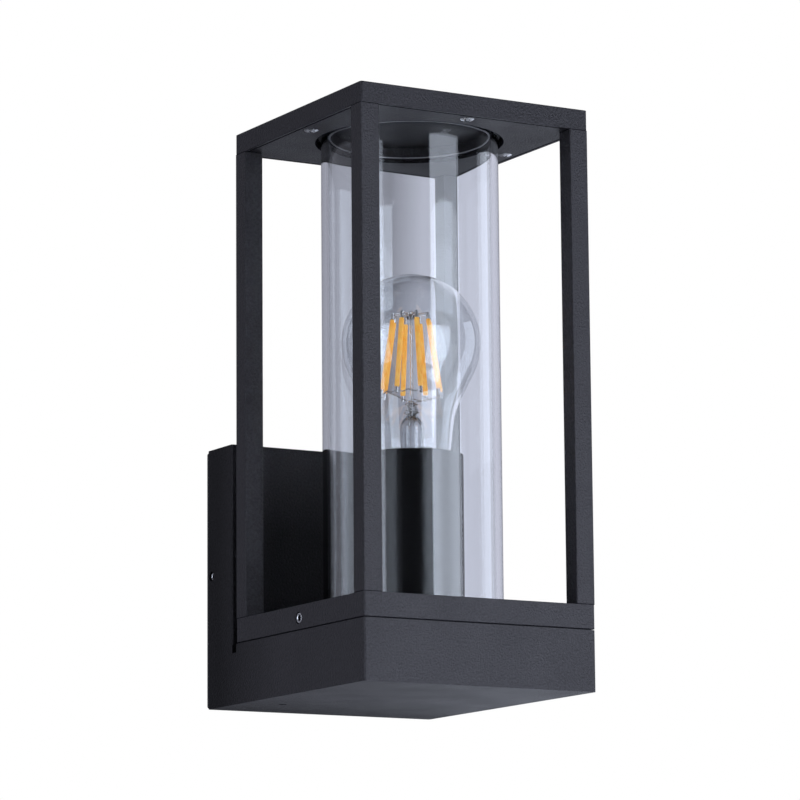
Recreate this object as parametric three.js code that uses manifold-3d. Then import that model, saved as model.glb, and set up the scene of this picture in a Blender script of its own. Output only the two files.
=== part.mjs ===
// Outdoor wall lantern: a cast aluminium wall box and base, with a lift-off cage of four posts
// around a clear glass tube and a screw-in filament bulb.
// Millimetres, +Z up, the wall on the +Y side. The origin is the middle of the wall bracket's back face.
import * as THREE from "three";
import { mergeVertices } from "three/addons/utils/BufferGeometryUtils.js";
import Module from "manifold-3d";

const wasm = await Module();
wasm.setup();

// ---- Driving dimensions -------------------------------------------------------------------------

const WIDTH = 120; // across the wall
const PROJECTION = 150; // from the wall to the front face
const HEIGHT = 269; // underside of the base to the top of the roof
const WALL_BOX_HEIGHT = 122;
const WALL_BOX_FRONT = -26; // y of the wall box's front face
const CAGE_DEPTH = 120;
const BASE_HEIGHT = 28; // underside to the joint between base and cage
const SEAM = 0.4; // the seal's thickness in that joint
const FRAME_HEIGHT = 11.5; // the joint to the top of the cage's bottom frame
const ROOF_HEIGHT = 9.5;
const POST = 9.5; // side of a square post
const CASTING_WALL = 3;
const GASKET = 1.5; // wall gasket thickness
const NOTCH_DEPTH = 4; // how far the slot behind the cage goes down into the base
const CORNER = 1.2; // outer corner radius of castings
const CLEARANCE = 0.3; // between two pieces that fit in each other

const GLASS_OUTER = 41.3; // radii of the glass tube
const GLASS_INNER = 38.3;
const COVER_OUTER = 23.6; // radii of the lampholder cover
const COVER_INNER = 22.1;
const COVER_TOP = 50.7;

const BULB_RADIUS = 32.3;
const BULB_CENTRE = 103; // z of the middle of the bulb's round part
const BULB_WALL = 0.8;
const CAP_BOTTOM = 22; // z of the lower edge of the screw cap
const CAP_TOP = 43;
const CONTACT_TIP = 17.3; // z of the bulb's end contact
const THREAD_PITCH = 25.4 / 7; // E27: seven turns to the inch
const THREAD_ROOT = 12.1; // root radius of the cap's thread
const THREAD_DEPTH = 1.1;
const THREAD_PLAY = 0.35; // the socket's thread is larger by this

const FILAMENTS = 8;
const FILAMENT_BOTTOM = { r: 14.1, z: 80.7 };
const FILAMENT_TOP = { r: 8.9, z: 114.2 };
const FILAMENT_PHASE = 31.7; // degrees, where the first filament stands

const M3 = 1.5; // screw radii
const M4 = 2;
const M5 = 2.5;

// ---- Levels and places worked out from them -----------------------------------------------------

const HALF = WIDTH / 2;
const FRONT = -PROJECTION;
const CAGE_BACK = FRONT + CAGE_DEPTH;
const AXIS_Y = FRONT + CAGE_DEPTH / 2; // the glass, the bulb and the lampholder share this axis
const BOTTOM = -WALL_BOX_HEIGHT / 2;
const BOX_TOP = WALL_BOX_HEIGHT / 2;
const BASE_TOP = BOTTOM + BASE_HEIGHT;
const FRAME_BOTTOM = BASE_TOP + SEAM;
const FRAME_TOP = BASE_TOP + FRAME_HEIGHT;
const ROOF_TOP = BOTTOM + HEIGHT;
const ROOF_BOTTOM = ROOF_TOP - ROOF_HEIGHT;
const POST_CENTRE = HALF - POST / 2;

const SPIGOT = 49.7; // half the outside of the base's upstand, which the cage's frame slides over
const SPIGOT_WALL = 3;
const SPIGOT_TOP = BASE_TOP + 8;
const FRAME_POCKET = SPIGOT + CLEARANCE;
const FRAME_DECK = 3; // thickness of the frame's deck
const FRAME_HOLE = 36.5; // lets the bulb through when the cage is lifted off
const SEAT_RADIUS = 43; // recesses that hold the glass at both ends
const SEAT_DEPTH = 1.2;
const GLASS_GASKET = 1;

const PLATE_HALF = 58; // top plate, inside the roof's rim
const PLATE = 2.5;
const ROOF_RIM = HALF - PLATE_HALF - CLEARANCE;
const ROOF_CEILING = ROOF_TOP - 2.2;
const COLLAR_OUTER = 37.7; // centres the top of the glass from inside
const COLLAR_INNER = 36.7;
const COLLAR_RIM = ROOF_BOTTOM + 1.1;
const CHANNEL_TOP = ROOF_BOTTOM + 3.6;
const RECESS_TOP = ROOF_BOTTOM + 5.8;
const RECESS_SKIN = 1;
const ROOF_SCREW_AT = 52.3; // from the axis to each roof screw
const ROOF_SCREW_HEAD = 3.5; // radius of its countersunk head
const COUNTERSINK = 1.5; // depth of the head's cone in the plate

const SIDE_SCREW_Y = -5.4; // the screws in the wall box's sides
const SIDE_SCREW_Z = 1.2;
const CAGE_SCREW_Z = (BASE_TOP + FRAME_TOP) / 2;
const BRACKET = 2; // sheet thickness
const BRACKET_HALF = HALF - CASTING_WALL - 2;

// ---- Materials ----------------------------------------------------------------------------------

function material(color, roughness, metalness, opacity = 1) {
  return new THREE.MeshStandardMaterial({
    color,
    roughness,
    metalness,
    opacity,
    transparent: opacity < 1,
  });
}

const powderCoat = material(0x2a2b30, 0.62, 0.1);
const satinBlack = material(0x141416, 0.35, 0.3);
const clearGlass = material(0xe8eef5, 0.03, 0, 0.3);
const stainless = material(0xc9cbd0, 0.3, 1);
const zincSteel = material(0xb4b8bd, 0.4, 1);
const brass = material(0xc8a557, 0.3, 1);
const nickel = material(0xd2d2cf, 0.25, 1);
const blackGlass = material(0x0c0c10, 0.15, 0);
const blackPlastic = material(0x18181a, 0.5, 0);
const whitePlastic = material(0xe6e4dc, 0.5, 0);
const steatite = material(0xe9e4d6, 0.7, 0);
const silicone = material(0xd8d8d6, 0.6, 0);
const rubber = material(0x1b1b1c, 0.85, 0);
const phosphor = material(0xf2a93c, 0.6, 0);
const brownSleeve = material(0x6a3d22, 0.55, 0);
const blueSleeve = material(0x2a62b0, 0.55, 0);
const greenSleeve = material(0x7fae33, 0.55, 0);

// ---- Shapes -------------------------------------------------------------------------------------

function box(x0, x1, y0, y1, z0, z1) {
  return new THREE.BoxGeometry(x1 - x0, y1 - y0, z1 - z0).translate(
    (x0 + x1) / 2,
    (y0 + y1) / 2,
    (z0 + z1) / 2,
  );
}

// The outline of a rectangle with round corners.
function roundedRectangle(x0, x1, y0, y1, radius, PathType = THREE.Shape) {
  const path = new PathType();
  path.absarc(x1 - radius, y1 - radius, radius, 0, Math.PI / 2);
  path.absarc(x0 + radius, y1 - radius, radius, Math.PI / 2, Math.PI);
  path.absarc(x0 + radius, y0 + radius, radius, Math.PI, 1.5 * Math.PI);
  path.absarc(x1 - radius, y0 + radius, radius, 1.5 * Math.PI, 2 * Math.PI);
  path.closePath();
  return path;
}

function circlePath(x, y, radius, sides) {
  const points = [];
  for (let i = 0; i < sides; i++) {
    const a = (2 * Math.PI * i) / sides;
    points.push(new THREE.Vector2(x + radius * Math.cos(a), y + radius * Math.sin(a)));
  }
  return new THREE.Path(points);
}

function extrude(shape, z0, z1, curveSegments = 2) {
  const options = { depth: z1 - z0, bevelEnabled: false, curveSegments };
  return new THREE.ExtrudeGeometry(shape, options).translate(0, 0, z0);
}

// A square loop centred on the lantern's axis.
function squareLoop(outer, inner, z0, z1, corner = CORNER) {
  const [front, back] = [AXIS_Y - outer, AXIS_Y + outer];
  const shape = roundedRectangle(-outer, outer, front, back, corner);
  const hole = roundedRectangle(
    -inner,
    inner,
    AXIS_Y - inner,
    AXIS_Y + inner,
    corner,
    THREE.Path,
  );
  shape.holes.push(hole);
  return extrude(shape, z0, z1);
}

// A solid of revolution about a vertical line; the profile is a list of [radius, z].
function lathe(profile, segments = 32, x = 0, y = AXIS_Y) {
  const points = profile.map(([r, z]) => new THREE.Vector2(r, z));
  return new THREE.LatheGeometry(points, segments)
    .rotateX(Math.PI / 2)
    .translate(x, y, 0);
}

function ring(inner, outer, z0, z1, segments = 48) {
  const profile = [
    [inner, z0],
    [outer, z0],
    [outer, z1],
    [inner, z1],
    [inner, z0],
  ];
  return lathe(profile, segments);
}

function rod(radius, z0, z1, x = 0, y = AXIS_Y, segments = 16) {
  return new THREE.CylinderGeometry(radius, radius, z1 - z0, segments)
    .rotateX(Math.PI / 2)
    .translate(x, y, (z0 + z1) / 2);
}

// A rod along X, for the screws in the sides and their holes.
function rodAlongX(radius, x0, x1, y, z, segments = 16) {
  return new THREE.CylinderGeometry(radius, radius, Math.abs(x1 - x0), segments)
    .rotateZ(Math.PI / 2)
    .translate((x0 + x1) / 2, y, z);
}

function rodAlongY(radius, y0, y1, x, z, segments = 16) {
  return new THREE.CylinderGeometry(radius, radius, Math.abs(y1 - y0), segments)
    .translate(x, (y0 + y1) / 2, z);
}

// A straight wire from one point to another.
function strut(from, to, radius, segments = 8) {
  const [a, b] = [new THREE.Vector3(...from), new THREE.Vector3(...to)];
  const along = b.clone().sub(a);
  const turn = new THREE.Quaternion().setFromUnitVectors(
    new THREE.Vector3(0, 1, 0),
    along.clone().normalize(),
  );
  return new THREE.CylinderGeometry(radius, radius, along.length(), segments)
    .applyQuaternion(turn)
    .translate(...a.add(b).multiplyScalar(0.5).toArray());
}

// A round wire along a smooth curve through the points.
function wire(points, radius, steps, sides = 8) {
  const curve = new THREE.CatmullRomCurve3(
    points.map((p) => new THREE.Vector3(...p)),
  );
  const section = new THREE.Shape(circlePath(0, 0, radius, sides).getPoints());
  return new THREE.ExtrudeGeometry(section, {
    steps,
    extrudePath: curve,
    bevelEnabled: false,
  });
}

// A tube around the lantern's axis. Each row is a level z and a radius, which may depend on the
// angle; the rows run up the outer wall and down the inner one.
function shapedTube(rows, segments) {
  const positions = [];
  for (const [radiusAt, z] of rows) {
    for (let i = 0; i < segments; i++) {
      const angle = (2 * Math.PI * i) / segments;
      const r = radiusAt(angle, z);
      positions.push(r * Math.cos(angle), AXIS_Y + r * Math.sin(angle), z);
    }
  }
  const at = (row, i) => (row % rows.length) * segments + (i % segments);
  const index = [];
  for (let j = 0; j < rows.length; j++) {
    for (let i = 0; i < segments; i++) {
      const [a, b] = [at(j, i), at(j, i + 1)];
      const [c, d] = [at(j + 1, i + 1), at(j + 1, i)];
      index.push(a, b, c, a, c, d);
    }
  }
  return new THREE.BufferGeometry()
    .setAttribute("position", new THREE.Float32BufferAttribute(positions, 3))
    .setIndex(index);
}

// ---- Joining and cutting ------------------------------------------------------------------------

function solid(geometry) {
  const bare = geometry.clone();
  bare.deleteAttribute("normal");
  bare.deleteAttribute("uv");
  const merged = mergeVertices(bare, 1e-4);
  return new wasm.Manifold(
    new wasm.Mesh({
      numProp: 3,
      vertProperties: merged.attributes.position.array,
      triVerts: new Uint32Array(merged.index.array),
    }),
  );
}

function geometryOf(manifold) {
  const made = manifold.getMesh();
  const positions = new Float32Array(made.vertProperties);
  return new THREE.BufferGeometry()
    .setAttribute("position", new THREE.BufferAttribute(positions, 3))
    .setIndex(new THREE.BufferAttribute(new Uint32Array(made.triVerts), 1));
}

function join(...geometries) {
  return geometryOf(
    geometries.map(solid).reduce((whole, next) => whole.add(next)),
  );
}

function cut(geometry, ...tools) {
  return geometryOf(
    tools
      .map(solid)
      .reduce((whole, tool) => whole.subtract(tool), solid(geometry)),
  );
}

const lantern = new THREE.Group();

function add(name, geometry, surface) {
  const mesh = new THREE.Mesh(geometry, surface);
  mesh.name = name;
  lantern.add(mesh);
}

const SIDES = { left: -1, right: 1 };
const CORNERS = {
  front_left: [-1, -1],
  front_right: [1, -1],
  rear_left: [-1, 1],
  rear_right: [1, 1],
};
const MIDDLES = {
  front: [0, -1],
  rear: [0, 1],
  left: [-1, 0],
  right: [1, 0],
};

// ---- Wall box and base --------------------------------------------------------------------------

// One casting: a box open to the wall, and a base that reaches forward from its foot.
function bodyCasting() {
  const backFace = -GASKET;
  const outside = join(
    extrude(
      roundedRectangle(-HALF, HALF, FRONT, backFace, CORNER),
      BOTTOM,
      BASE_TOP,
    ),
    extrude(
      roundedRectangle(-HALF, HALF, WALL_BOX_FRONT, backFace, CORNER),
      BOTTOM,
      BOX_TOP,
    ),
    squareLoop(SPIGOT, SPIGOT - SPIGOT_WALL, BASE_TOP - 1, SPIGOT_TOP),
  );
  const inside = HALF - CASTING_WALL;
  const floor = BOTTOM + CASTING_WALL;
  const deckUnderside = BASE_TOP - CASTING_WALL;
  const boxFrontInside = WALL_BOX_FRONT + 2.5;
  const notchFloor = BASE_TOP - NOTCH_DEPTH;
  const notchFront = CAGE_BACK - 2.5;
  return cut(
    outside,
    box(
      -inside,
      inside,
      boxFrontInside,
      1,
      floor,
      BOX_TOP - CASTING_WALL,
    ),
    box(
      -inside,
      inside,
      FRONT + CASTING_WALL,
      notchFront,
      floor,
      deckUnderside,
    ),
    box(
      -inside,
      inside,
      notchFront - 1,
      boxFrontInside + 1,
      floor,
      notchFloor - 2.5,
    ),
    // The slot between the cage and the wall box.
    box(
      -HALF - 1,
      HALF + 1,
      CAGE_BACK,
      WALL_BOX_FRONT,
      notchFloor,
      BASE_TOP + 1,
    ),
    rod(5 + CLEARANCE, deckUnderside - 1, BASE_TOP + 1),
    rod(M4, BOTTOM - 1, floor + 1, -40.4, -38.6), // drain hole
    rodAlongX(M4 + CLEARANCE, -HALF - 1, HALF + 1, SIDE_SCREW_Y, SIDE_SCREW_Z),
  );
}

add("body_casting", bodyCasting(), powderCoat);

// Foam gasket between the casting's rim and the wall; it lies flat against the wall.
function wallGasket() {
  const shape = roundedRectangle(-59.5, 59.5, -60.5, 60.5, CORNER);
  shape.holes.push(
    roundedRectangle(-55.5, 55.5, -56.5, 56.5, CORNER, THREE.Path),
  );
  return extrude(shape, 0, GASKET).rotateX(Math.PI / 2);
}

add("wall_gasket", wallGasket(), rubber);

// Steel strap that is screwed to the wall; its two ears take the screws in the wall box's sides.
function wallBracket() {
  const strap = box(-BRACKET_HALF, BRACKET_HALF, -BRACKET, 0, -16, 16);
  const ears = Object.values(SIDES).map((side) => {
    const [inner, outer] = [BRACKET_HALF - BRACKET, BRACKET_HALF];
    const [x0, x1] = side > 0 ? [inner, outer] : [-outer, -inner];
    return box(x0, x1, -14, -1, -9, 9);
  });
  const wallSlots = Object.values(SIDES).map((side) => {
    const slot = roundedRectangle(-6, 6, -2.5, 2.5, 2);
    return extrude(slot, -1, BRACKET + 1)
      .rotateX(Math.PI / 2)
      .translate(side * 37, 0, 0);
  });
  return cut(
    join(strap, ...ears),
    ...wallSlots,
    rodAlongX(M4 + CLEARANCE, -HALF, HALF, SIDE_SCREW_Y, SIDE_SCREW_Z),
    rodAlongY(M4 + CLEARANCE, -BRACKET - 1, 1, 21, 0),
  );
}

add("wall_bracket", wallBracket(), zincSteel);

// A headless screw with a hexagon socket, lying along X with its socket at the outer end.
function setScrew(radius, side, outerEnd, innerEnd, y, z) {
  const socket = 0.57 * radius;
  return cut(
    rodAlongX(radius, side * innerEnd, side * outerEnd, y, z),
    rodAlongX(socket, side * (outerEnd - 2.5), side * (outerEnd + 1), y, z, 6),
  );
}

for (const [name, side] of Object.entries(SIDES))
  add(
    `body_screw_${name}`,
    setScrew(M4, side, HALF - 0.8, HALF - 9, SIDE_SCREW_Y, SIDE_SCREW_Z),
    stainless,
  );

// Three-pole terminal block on the bracket, with a screw well and two wire holes for each pole.
const POLES = { live: -17, neutral: -7, earth: 3 };
const BLOCK_Z = 9;
const WIRE_Y = -8;

function terminalBlock() {
  const wells = Object.values(POLES).flatMap((x) => [
    rodAlongY(2.2, -14.5, -10, x, 0, 12),
    rod(1.7, -BLOCK_Z - 1, -BLOCK_Z + 6, x, WIRE_Y, 10),
    rod(1.7, BLOCK_Z - 6, BLOCK_Z + 1, x, WIRE_Y, 10),
  ]);
  const gaps = [-12, -2].flatMap((x) => [
    box(x - 0.6, x + 0.6, -15, -5, BLOCK_Z - 4, BLOCK_Z + 1),
    box(x - 0.6, x + 0.6, -15, -5, -BLOCK_Z - 1, -BLOCK_Z + 4),
  ]);
  const block = box(-22, 8, -14, -BRACKET, -BLOCK_Z, BLOCK_Z);
  return cut(block, ...wells, ...gaps);
}

add("terminal_block", terminalBlock(), whitePlastic);

function earthScrew() {
  const shank = rodAlongY(M4, -BRACKET - 0.5, -0.2, 21, 0);
  const head = rodAlongY(3.6, -BRACKET - 3, -BRACKET, 21, 0, 20);
  const slot = box(20.5, 21.5, -BRACKET - 4, -BRACKET - 1.8, -4, 4);
  return cut(join(shank, head), slot);
}

add("earth_screw", earthScrew(), brass);

// ---- Lampholder ---------------------------------------------------------------------------------

// Straight tube with a floor, clamped to the base's deck by the nipple.
add(
  "lampholder_cover",
  lathe(
    [
      [5 + CLEARANCE, BASE_TOP],
      [COVER_OUTER, BASE_TOP],
      [COVER_OUTER, COVER_TOP],
      [COVER_INNER, COVER_TOP],
      [COVER_INNER, BASE_TOP + 1.5],
      [5 + CLEARANCE, BASE_TOP + 1.5],
      [5 + CLEARANCE, BASE_TOP],
    ],
    48,
  ),
  satinBlack,
);

const NIPPLE_TOP = 4;
const NIPPLE_BOTTOM = BASE_TOP - 13;
add("lampholder_nipple", ring(3.6, 5, NIPPLE_BOTTOM, NIPPLE_TOP, 20), brass);

function hexNut(z0, z1) {
  return cut(
    rod(8.1, z0, z1, 0, AXIS_Y, 6),
    rod(5 + CLEARANCE, z0 - 1, z1 + 1, 0, AXIS_Y, 20),
  );
}

const DECK_UNDERSIDE = BASE_TOP - CASTING_WALL;
add("nipple_nut_lower", hexNut(DECK_UNDERSIDE - 3, DECK_UNDERSIDE), zincSteel);
add("nipple_nut_upper", hexNut(BASE_TOP + 1.5, BASE_TOP + 4.5), zincSteel);

// The holder's lower dome, which screws onto the nipple.
add(
  "lampholder_base",
  lathe(
    [
      [5 + CLEARANCE, -3],
      [10, -3],
      [16, 0],
      [20, 6],
      [20, 11.7],
      [18, 11.7],
      [18, 6.5],
      [14.5, 2],
      [10, 1],
      [5 + CLEARANCE, 1],
      [5 + CLEARANCE, -3],
    ],
    32,
  ),
  blackPlastic,
);

add(
  "lampholder_body",
  lathe(
    [
      [16.3, 12],
      [20, 12],
      [20, 45],
      [19, 46.5],
      [14.5, 46.5],
      [14.5, 19],
      [16.3, 19],
      [16.3, 12],
    ],
    32,
  ),
  blackPlastic,
);

// Steatite disc that carries the contacts.
add(
  "lampholder_core",
  cut(rod(16, 12, 15, 0, AXIS_Y, 28), rod(2.6, 11, 16, 9, AXIS_Y, 10)),
  steatite,
);

// How far a right-hand thread stands out from its root, at an angle and a height.
function threadHeight(angle, z) {
  const phase = (2 * Math.PI * z) / THREAD_PITCH - angle;
  return THREAD_DEPTH * (0.5 + 0.5 * Math.cos(phase));
}

const THREAD_SEGMENTS = 20;
const THREAD_LEVELS = [];
for (let z = CAP_BOTTOM; z < CAP_TOP; z += THREAD_PITCH / 5)
  THREAD_LEVELS.push(z);
const CAP_RIM = THREAD_LEVELS.at(-1);

function socketShell() {
  const outerWall = () => 14.2;
  const thread = (angle, z) => THREAD_ROOT + THREAD_PLAY + threadHeight(angle, z);
  const rows = [
    [outerWall, CAP_BOTTOM],
    [outerWall, CAP_RIM],
    ...THREAD_LEVELS.toReversed().map((z) => [thread, z]),
  ];
  return shapedTube(rows, THREAD_SEGMENTS);
}

add("socket_shell", socketShell(), brass);

// Spring tongue under the bulb's end contact.
function centreContact() {
  const outline = new THREE.Shape();
  outline.moveTo(-9, 15.2);
  outline.lineTo(-5, 15.2);
  outline.lineTo(-1, 16.3);
  outline.lineTo(3, 16.3);
  outline.lineTo(3, 16.9);
  outline.lineTo(-1.2, 16.9);
  outline.lineTo(-5.2, 15.8);
  outline.lineTo(-9, 15.8);
  outline.closePath();
  return extrude(outline, -2.5, 2.5)
    .rotateX(Math.PI / 2)
    .translate(0, AXIS_Y, 0);
}

add("centre_contact", centreContact(), brass);

// ---- Fixed wiring -------------------------------------------------------------------------------

const WIRE_RADIUS = 1.2;

// From a pole of the terminal block, down behind the base and up through the nipple.
function feedWire(pole, nippleX) {
  const low = BOTTOM + 7;
  return wire(
    [
      [pole, WIRE_Y, -BLOCK_Z + 4],
      [pole, WIRE_Y, -16],
      [pole, WIRE_Y - 1, -30],
      [pole * 0.9, WIRE_Y - 5, low + 8],
      [pole * 0.7, WIRE_Y - 18, low + 1],
      [pole * 0.5, WIRE_Y - 40, low],
      [pole * 0.25 + nippleX * 0.5, WIRE_Y - 64, low],
      [nippleX, AXIS_Y + 5, low + 1.5],
      [nippleX, AXIS_Y, low + 7],
      [nippleX, AXIS_Y, NIPPLE_BOTTOM + 4],
      [nippleX, AXIS_Y, -20],
      [nippleX, AXIS_Y, 9],
    ],
    WIRE_RADIUS,
    36,
  );
}

add("live_wire", feedWire(POLES.live, -1.5), brownSleeve);
add("neutral_wire", feedWire(POLES.neutral, 1.5), blueSleeve);
add(
  "earth_wire",
  wire(
    [
      [POLES.earth, WIRE_Y, -BLOCK_Z + 4],
      [POLES.earth, WIRE_Y, -14],
      [8, WIRE_Y - 1, -22],
      [17, WIRE_Y + 1, -20],
      [21, -5, -12],
      [21, -3.6, -5],
    ],
    WIRE_RADIUS,
    18,
  ),
  greenSleeve,
);

// ---- Cage ---------------------------------------------------------------------------------------

add(
  "frame_seal",
  squareLoop(HALF - 1, SPIGOT + CLEARANCE, BASE_TOP, FRAME_BOTTOM),
  rubber,
);

// Where each post stands, and where each roof screw goes in.
function cornerAt([sx, sy]) {
  return [sx * POST_CENTRE, AXIS_Y + sy * POST_CENTRE];
}

function middleAt([sx, sy]) {
  return [sx * ROOF_SCREW_AT, AXIS_Y + sy * ROOF_SCREW_AT];
}

// Bottom frame: a deck over a deep square pocket, with a seat for the glass.
function cageBase() {
  const screwHoles = Object.values(CORNERS).flatMap((corner) => {
    const [x, y] = cornerAt(corner);
    return [
      rod(M3 + CLEARANCE, FRAME_BOTTOM - 1, FRAME_TOP + 1, x, y, 12),
      rod(3.3, FRAME_BOTTOM - 1, FRAME_BOTTOM + 3, x, y, 16),
    ];
  });
  const outline = roundedRectangle(-HALF, HALF, FRONT, CAGE_BACK, CORNER);
  return cut(
    extrude(outline, FRAME_BOTTOM, FRAME_TOP),
    box(
      -FRAME_POCKET,
      FRAME_POCKET,
      AXIS_Y - FRAME_POCKET,
      AXIS_Y + FRAME_POCKET,
      FRAME_BOTTOM - 1,
      FRAME_TOP - FRAME_DECK,
    ),
    rod(FRAME_HOLE, FRAME_BOTTOM, FRAME_TOP + 1, 0, AXIS_Y, 48),
    rod(SEAT_RADIUS, FRAME_TOP - SEAT_DEPTH, FRAME_TOP + 1, 0, AXIS_Y, 48),
    rodAlongX(M5 + CLEARANCE, -HALF - 1, HALF + 1, AXIS_Y, CAGE_SCREW_Z),
    ...screwHoles,
  );
}

add("cage_base", cageBase(), powderCoat);

for (const [name, side] of Object.entries(SIDES))
  add(
    `cage_screw_${name}`,
    setScrew(M5, side, HALF - 0.2, SPIGOT + CLEARANCE, AXIS_Y, CAGE_SCREW_Z),
    stainless,
  );

// Square extrusion with a round screw channel all the way through.
function post(corner) {
  const [x, y] = cornerAt(corner);
  const half = POST / 2;
  const shape = roundedRectangle(x - half, x + half, y - half, y + half, 0.6);
  shape.holes.push(circlePath(x, y, M3 + CLEARANCE, 10));
  return extrude(shape, FRAME_TOP, ROOF_BOTTOM, 1);
}

// A pan-head screw standing on its head or hanging from it; up is 1 when the shank points up.
function panScrew(x, y, headFace, up, headRadius, headHeight, shank, radius) {
  const level = (d) => headFace + up * d;
  const span = (a, b) => [Math.min(a, b), Math.max(a, b)];
  return cut(
    join(
      rod(headRadius, ...span(level(-headHeight), level(0)), x, y, 16),
      rod(radius, ...span(level(-0.1), level(shank)), x, y, 12),
    ),
    box(
      x - 0.35,
      x + 0.35,
      y - headRadius * 0.6,
      y + headRadius * 0.6,
      ...span(level(-headHeight - 1), level(-headHeight * 0.4)),
    ),
    box(
      x - headRadius * 0.6,
      x + headRadius * 0.6,
      y - 0.35,
      y + 0.35,
      ...span(level(-headHeight - 1), level(-headHeight * 0.4)),
    ),
  );
}

const PLATE_TOP = ROOF_BOTTOM + PLATE;
const RING_SIDES = 96; // of the round channel
for (const [name, corner] of Object.entries(CORNERS)) {
  const [x, y] = cornerAt(corner);
  add(`post_${name}`, post(corner), powderCoat);
  add(
    `post_screw_bottom_${name}`,
    panScrew(x, y, FRAME_BOTTOM + 3, 1, 2.9, 2, 18, M3),
    stainless,
  );
  add(
    `post_screw_top_${name}`,
    panScrew(x, y, PLATE_TOP, -1, 2.4, 1.8, 12, M3),
    stainless,
  );
}

// Plate under the roof. Its raised middle has a round channel that holds the top of the glass, and
// a shallow recess inside the channel's inner wall.
function topPlate() {
  const outline = roundedRectangle(
    -PLATE_HALF,
    PLATE_HALF,
    AXIS_Y - PLATE_HALF,
    AXIS_Y + PLATE_HALF,
    0.8,
  );
  const channelWall = SEAT_RADIUS + 3;
  outline.holes.push(circlePath(0, AXIS_Y, SEAT_RADIUS + 0.6, RING_SIDES));
  for (const [x, y] of Object.values(MIDDLES).map(middleAt))
    outline.holes.push(circlePath(x, y, M4 + CLEARANCE, 12));
  for (const [x, y] of Object.values(CORNERS).map(cornerAt))
    outline.holes.push(circlePath(x, y, M3 + CLEARANCE, 12));
  const raised = lathe(
    [
      [0, RECESS_TOP],
      [COLLAR_INNER, RECESS_TOP],
      [COLLAR_INNER, COLLAR_RIM],
      [COLLAR_OUTER, COLLAR_RIM],
      [COLLAR_OUTER, CHANNEL_TOP],
      [SEAT_RADIUS, CHANNEL_TOP],
      [SEAT_RADIUS, ROOF_BOTTOM + 0.6],
      [channelWall, ROOF_BOTTOM + 0.6],
      [channelWall, CHANNEL_TOP + 1.3],
      [COLLAR_OUTER + 1, CHANNEL_TOP + 1.3],
      [COLLAR_OUTER + 1, RECESS_TOP + RECESS_SKIN],
      [0, RECESS_TOP + RECESS_SKIN],
    ],
    RING_SIDES,
  );
  const countersinks = Object.values(MIDDLES).map((middle) => {
    const rim = ROOF_SCREW_HEAD + CLEARANCE;
    return lathe(
      [
        [0, ROOF_BOTTOM - 1],
        [rim, ROOF_BOTTOM - 1],
        [rim, ROOF_BOTTOM + CLEARANCE],
        [M4 + CLEARANCE, ROOF_BOTTOM + CLEARANCE + COUNTERSINK],
        [0, ROOF_BOTTOM + CLEARANCE + COUNTERSINK],
      ],
      24,
      ...middleAt(middle),
    );
  });
  return cut(join(extrude(outline, ROOF_BOTTOM, PLATE_TOP), raised), ...countersinks);
}

add("top_plate", topPlate(), powderCoat);

// Shallow tray, open downwards, with a boss over each roof screw.
function roof() {
  const inner = HALF - ROOF_RIM;
  const outline = roundedRectangle(-HALF, HALF, FRONT, CAGE_BACK, CORNER);
  const middles = Object.values(MIDDLES).map(middleAt);
  const tray = cut(
    extrude(outline, ROOF_BOTTOM, ROOF_TOP),
    box(
      -inner,
      inner,
      AXIS_Y - inner,
      AXIS_Y + inner,
      ROOF_BOTTOM - 1,
      ROOF_CEILING,
    ),
  );
  return cut(
    join(
      tray,
      ...middles.map(([x, y]) => rod(4.2, PLATE_TOP, ROOF_CEILING + 0.5, x, y)),
    ),
    ...middles.map(([x, y]) =>
      rod(M4 + CLEARANCE, PLATE_TOP - 1, ROOF_CEILING + 1.4, x, y),
    ),
  );
}

add("roof", roof(), powderCoat);

// Raised countersunk screw with a cross recess, pointing up through the plate into the roof's boss.
function roofScrew(x, y) {
  const crown = 0.6;
  const slot = 0.4;
  const reach = 2;
  const body = lathe(
    [
      [0, ROOF_BOTTOM - crown],
      [2, ROOF_BOTTOM - 0.7 * crown],
      [ROOF_SCREW_HEAD, ROOF_BOTTOM],
      [M4, ROOF_BOTTOM + COUNTERSINK],
      [M4, ROOF_BOTTOM + 7],
      [M4 - 0.5, ROOF_BOTTOM + 7.5],
      [0, ROOF_BOTTOM + 7.5],
    ],
    24,
    x,
    y,
  );
  const [low, high] = [ROOF_BOTTOM - 1, ROOF_BOTTOM + 0.7];
  return cut(
    body,
    box(x - slot, x + slot, y - reach, y + reach, low, high),
    box(x - reach, x + reach, y - slot, y + slot, low, high),
  );
}

for (const [name, middle] of Object.entries(MIDDLES))
  add(`roof_screw_${name}`, roofScrew(...middleAt(middle)), stainless);

// ---- Glass tube and its gaskets -----------------------------------------------------------------

const SEAT_FLOOR = FRAME_TOP - SEAT_DEPTH;
const GLASS_BOTTOM = SEAT_FLOOR + GLASS_GASKET;
const GLASS_TOP = CHANNEL_TOP - GLASS_GASKET;
const CHANNEL_FIT = 0.4;
add(
  "glass_seat_gasket",
  ring(GLASS_INNER - 1, SEAT_RADIUS - CHANNEL_FIT, SEAT_FLOOR, GLASS_BOTTOM),
  silicone,
);
add(
  "glass_tube",
  ring(GLASS_INNER, GLASS_OUTER, GLASS_BOTTOM, GLASS_TOP, 64),
  clearGlass,
);
add(
  "glass_top_gasket",
  ring(
    COLLAR_OUTER + CHANNEL_FIT,
    SEAT_RADIUS - CHANNEL_FIT,
    GLASS_TOP,
    CHANNEL_TOP,
  ),
  silicone,
);

// ---- Bulb ---------------------------------------------------------------------------------------

// The bulb's outline from neck to crown: a waist that swells into a sphere.
const SPHERE_START = -Math.PI / 6; // where the waist meets the sphere, below its widest line

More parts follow.
